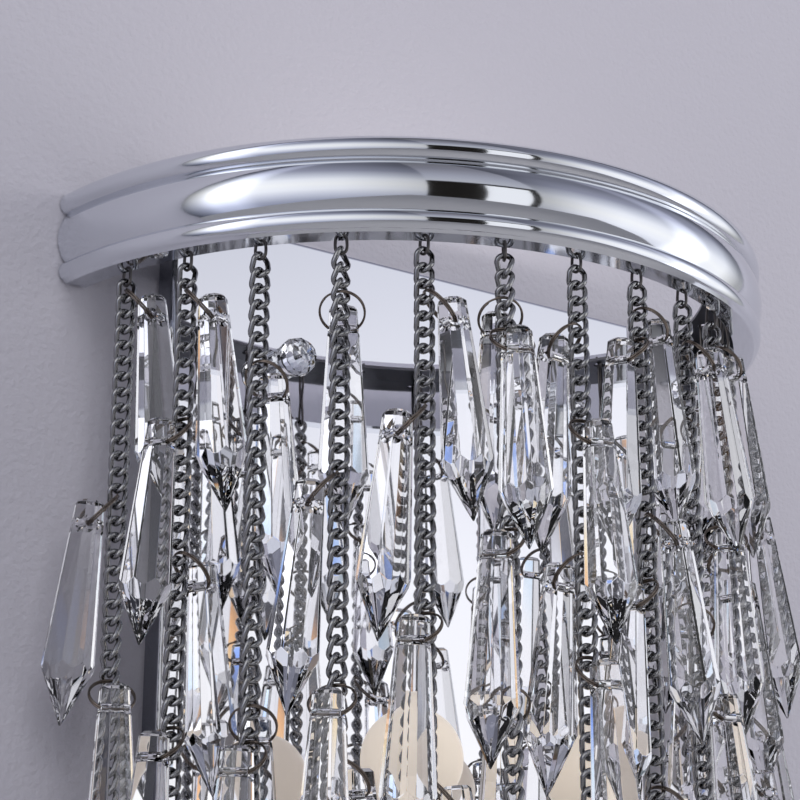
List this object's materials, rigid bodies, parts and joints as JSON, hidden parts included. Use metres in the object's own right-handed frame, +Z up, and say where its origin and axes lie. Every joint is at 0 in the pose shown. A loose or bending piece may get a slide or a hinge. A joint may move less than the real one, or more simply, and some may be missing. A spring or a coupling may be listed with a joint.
{
  "type": "crystal wall sconce",
  "caption": "Half-round wall sconce: a polished reeded rim over a mirror plate, with chains of clear cut icicle crystals around two lamps.",
  "frame": {"origin": "on the wall, halfway between the two screw holes of the wall crossbar", "axes": "+Z up, front faces -Y, +X to the right seen from the front"},
  "size_m": [0.3118, 0.1438, 0.3493],
  "materials": {
    "chrome": "polished",
    "mirror": "mirror",
    "chain": "polished dark chrome",
    "wire": "dark",
    "crystal": "cut and polished",
    "steel": "plain",
    "bulb": "frosted",
    "brass": "plain",
    "porcelain": "glazed",
    "plastic": "moulded",
    "rubber": "matte"
  },
  "bodies": {
    "fixture": {"bracket_screws": "steel", "bulb_caps": "brass", "bulbs": "bulb", "chain_hooks": "wire", "crossbar_studs": "steel", "finial_balls": "crystal", "finial_nuts": "chrome", "grommet": "rubber", "hook_ledge": "steel", "lamp_bracket": "steel", "lampholders": "porcelain", "mirror_plate": "mirror", "rim_back_bar": "steel", "rim_band": "chrome", "stud_lock_nuts": "steel", "terminal_block": "plastic", "wall_crossbar": "steel", "wire_tubes": "steel"},
    "strand_01": {"chain_01": "chain", "rings_01": "wire", "crystals_01": "crystal"},
    "strand_02": {"chain_02": "chain", "rings_02": "wire", "crystals_02": "crystal"},
    "strand_03": {"chain_03": "chain", "rings_03": "wire", "crystals_03": "crystal"},
    "strand_04": {"chain_04": "chain", "rings_04": "wire", "crystals_04": "crystal"},
    "strand_05": {"chain_05": "chain", "rings_05": "wire", "crystals_05": "crystal"},
    "strand_06": {"chain_06": "chain", "rings_06": "wire", "crystals_06": "crystal"},
    "strand_07": {"chain_07": "chain", "rings_07": "wire", "crystals_07": "crystal"},
    "strand_08": {"chain_08": "chain", "rings_08": "wire", "crystals_08": "crystal"},
    "strand_09": {"chain_09": "chain", "rings_09": "wire", "crystals_09": "crystal"},
    "strand_10": {"chain_10": "chain", "rings_10": "wire", "crystals_10": "crystal"},
    "strand_11": {"chain_11": "chain", "rings_11": "wire", "crystals_11": "crystal"},
    "strand_12": {"chain_12": "chain", "rings_12": "wire", "crystals_12": "crystal"},
    "strand_13": {"chain_13": "chain", "rings_13": "wire", "crystals_13": "crystal"},
    "strand_14": {"chain_14": "chain", "rings_14": "wire", "crystals_14": "crystal"}
  },
  "joints": [
    {"name": "swing_01", "type": "hinge", "parent": "fixture", "child": "strand_01", "pos_m": [-0.13354, -0.01879, 0.01525], "axis": [-0.2521, 0.9677, 0], "range_deg": [-2, 9]},
    {"name": "swing_02", "type": "hinge", "parent": "fixture", "child": "strand_02", "pos_m": [-0.12382, -0.04493, 0.01525], "axis": [-0.4415, 0.8973, 0], "range_deg": [-1, 11]},
    {"name": "swing_03", "type": "hinge", "parent": "fixture", "child": "strand_03", "pos_m": [-0.10904, -0.06858, 0.01525], "axis": [-0.6129, 0.7902, 0], "range_deg": [-2, 2]},
    {"name": "swing_04", "type": "hinge", "parent": "fixture", "child": "strand_04", "pos_m": [-0.08981, -0.08878, 0.01525], "axis": [-0.7593, 0.6508, 0], "range_deg": [-2, 11]},
    {"name": "swing_05", "type": "hinge", "parent": "fixture", "child": "strand_05", "pos_m": [-0.0669, -0.1047, 0.01525], "axis": [-0.8746, 0.4848, 0], "range_deg": [-2, 4]},
    {"name": "swing_06", "type": "hinge", "parent": "fixture", "child": "strand_06", "pos_m": [-0.04127, -0.11569, 0.01525], "axis": [-0.9542, 0.299, 0], "range_deg": [-0.6, 4]},
    {"name": "swing_07", "type": "hinge", "parent": "fixture", "child": "strand_07", "pos_m": [-0.01395, -0.12129, 0.01525], "axis": [-0.9949, 0.1011, 0], "range_deg": [-1, 11]},
    {"name": "swing_08", "type": "hinge", "parent": "fixture", "child": "strand_08", "pos_m": [0.01395, -0.12129, 0.01525], "axis": [-0.9949, -0.1011, 0], "range_deg": [-2, 1.5]},
    {"name": "swing_09", "type": "hinge", "parent": "fixture", "child": "strand_09", "pos_m": [0.04127, -0.11569, 0.01525], "axis": [-0.9542, -0.299, 0], "range_deg": [-2, 1]},
    {"name": "swing_10", "type": "hinge", "parent": "fixture", "child": "strand_10", "pos_m": [0.0669, -0.1047, 0.01525], "axis": [-0.8746, -0.4848, 0], "range_deg": [-0.6, 11]},
    {"name": "swing_11", "type": "hinge", "parent": "fixture", "child": "strand_11", "pos_m": [0.08981, -0.08878, 0.01525], "axis": [-0.7593, -0.6508, 0], "range_deg": [-2, 2]},
    {"name": "swing_12", "type": "hinge", "parent": "fixture", "child": "strand_12", "pos_m": [0.10904, -0.06858, 0.01525], "axis": [-0.6129, -0.7902, 0], "range_deg": [-1, 2]},
    {"name": "swing_13", "type": "hinge", "parent": "fixture", "child": "strand_13", "pos_m": [0.12382, -0.04493, 0.01525], "axis": [-0.4415, -0.8973, 0], "range_deg": [-2, 5]},
    {"name": "swing_14", "type": "hinge", "parent": "fixture", "child": "strand_14", "pos_m": [0.13354, -0.01879, 0.01525], "axis": [-0.2521, -0.9677, 0], "range_deg": [0, 3]}
  ]
}
